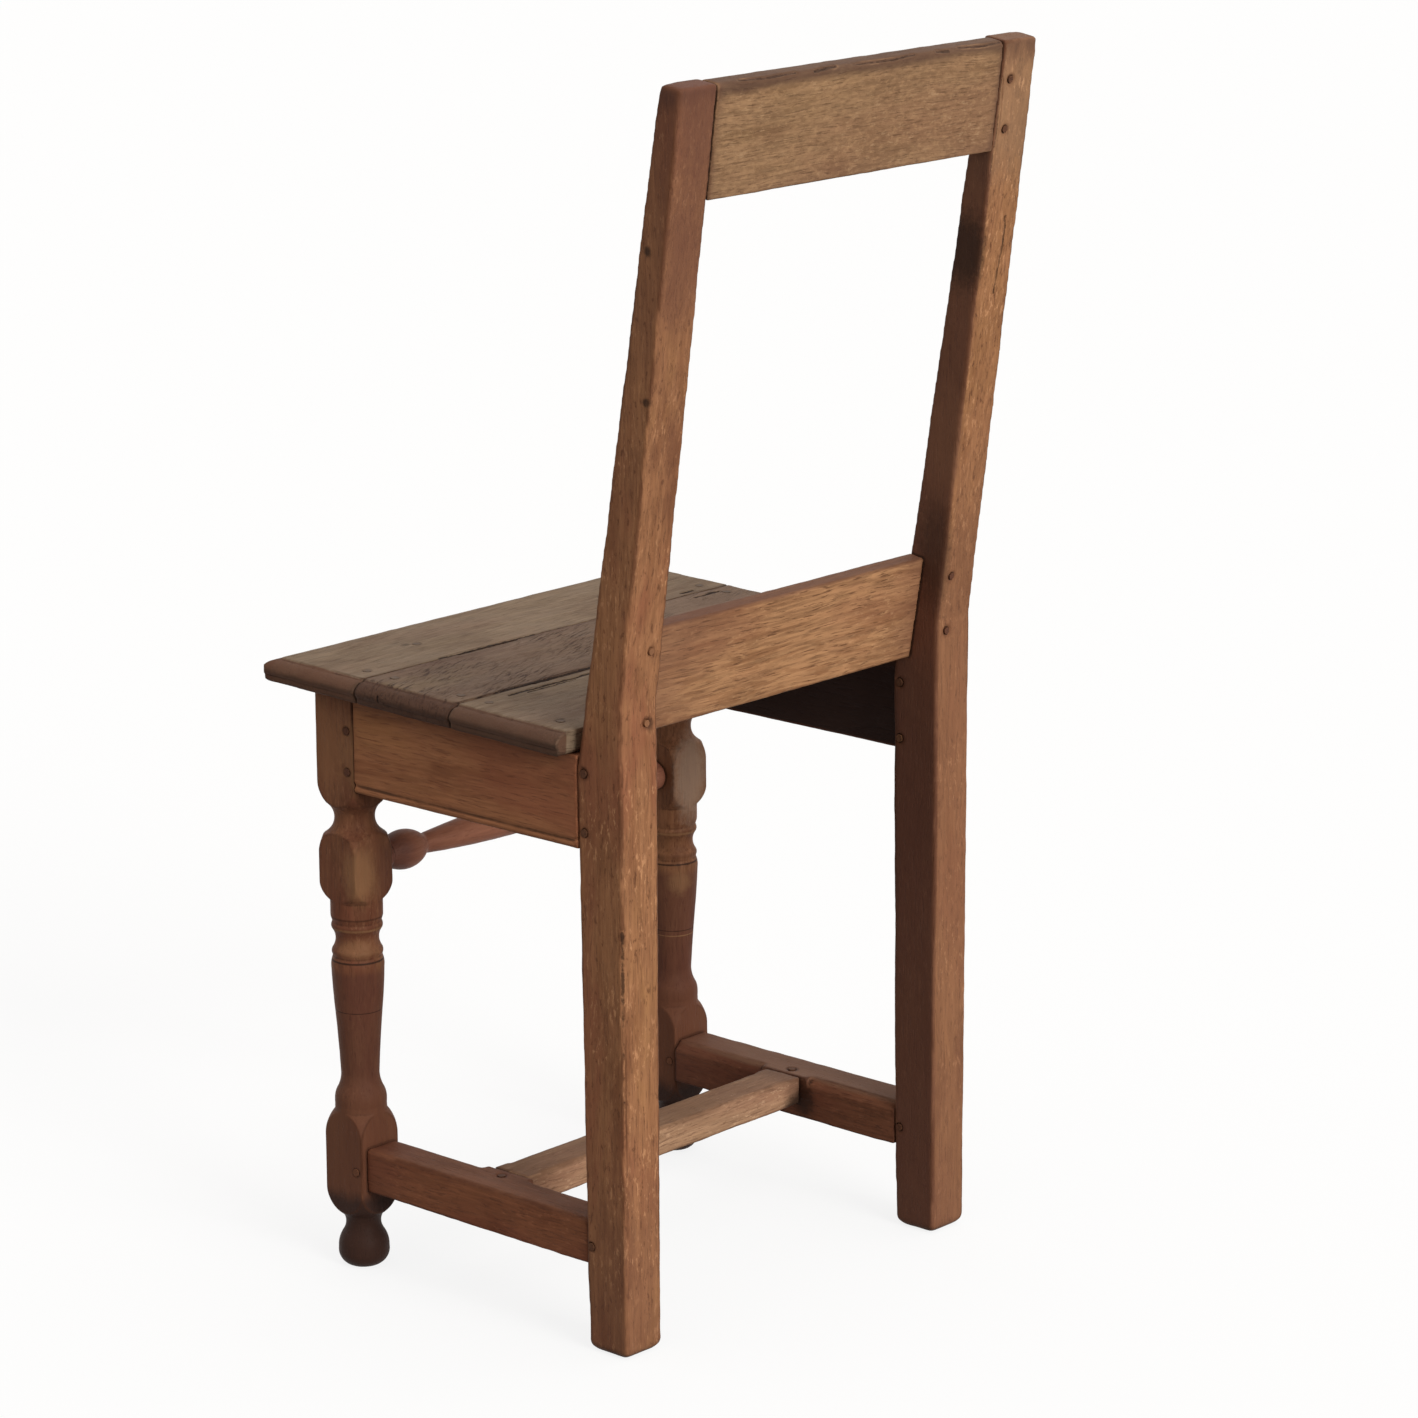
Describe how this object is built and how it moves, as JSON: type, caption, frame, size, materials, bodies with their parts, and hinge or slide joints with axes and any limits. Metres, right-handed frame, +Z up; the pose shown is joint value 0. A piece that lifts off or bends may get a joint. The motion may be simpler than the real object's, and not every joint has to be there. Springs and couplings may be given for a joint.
{
  "type": "joined side chair",
  "caption": "Joined oak side chair with a raked open back, a moulded plank seat, turned front legs and stretcher, and plain stretchers set in an H.",
  "frame": {"origin": "on the floor, under the centre of the chair's overall box", "axes": "+X to the left hand of a sitter, +Y to the back, +Z up; the chair faces -Y"},
  "size_m": [0.4144, 0.4014, 0.9124],
  "materials": {
    "post_oak": "waxed and worn",
    "rail_oak": "waxed and worn",
    "turned_oak": "waxed, rubbed to a soft shine",
    "stretcher_oak": "worn",
    "seat_oak": "dry and worn",
    "peg_oak": "end grain, waxed",
    "nail_iron": "dull, rusted"
  },
  "bodies": {
    "root": {"rear_post_left": "post_oak", "rear_post_right": "post_oak", "front_leg_left": "turned_oak", "front_leg_right": "turned_oak", "front_stretcher": "turned_oak", "crest_rail": "rail_oak", "lower_back_rail": "rail_oak", "side_rail_left": "rail_oak", "side_rail_right": "rail_oak", "front_rail": "rail_oak", "side_stretcher_left": "stretcher_oak", "side_stretcher_right": "stretcher_oak", "cross_stretcher": "stretcher_oak", "seat_board_front": "seat_oak", "seat_board_middle": "seat_oak", "seat_board_rear": "seat_oak", "crest_rail_pegs": "peg_oak", "lower_back_rail_pegs": "peg_oak", "side_rail_front_pegs": "peg_oak", "side_rail_rear_pegs": "peg_oak", "front_rail_pegs": "peg_oak", "side_stretcher_pegs": "peg_oak", "cross_stretcher_pegs": "peg_oak", "seat_nails": "nail_iron"}
  },
  "joints": []
}
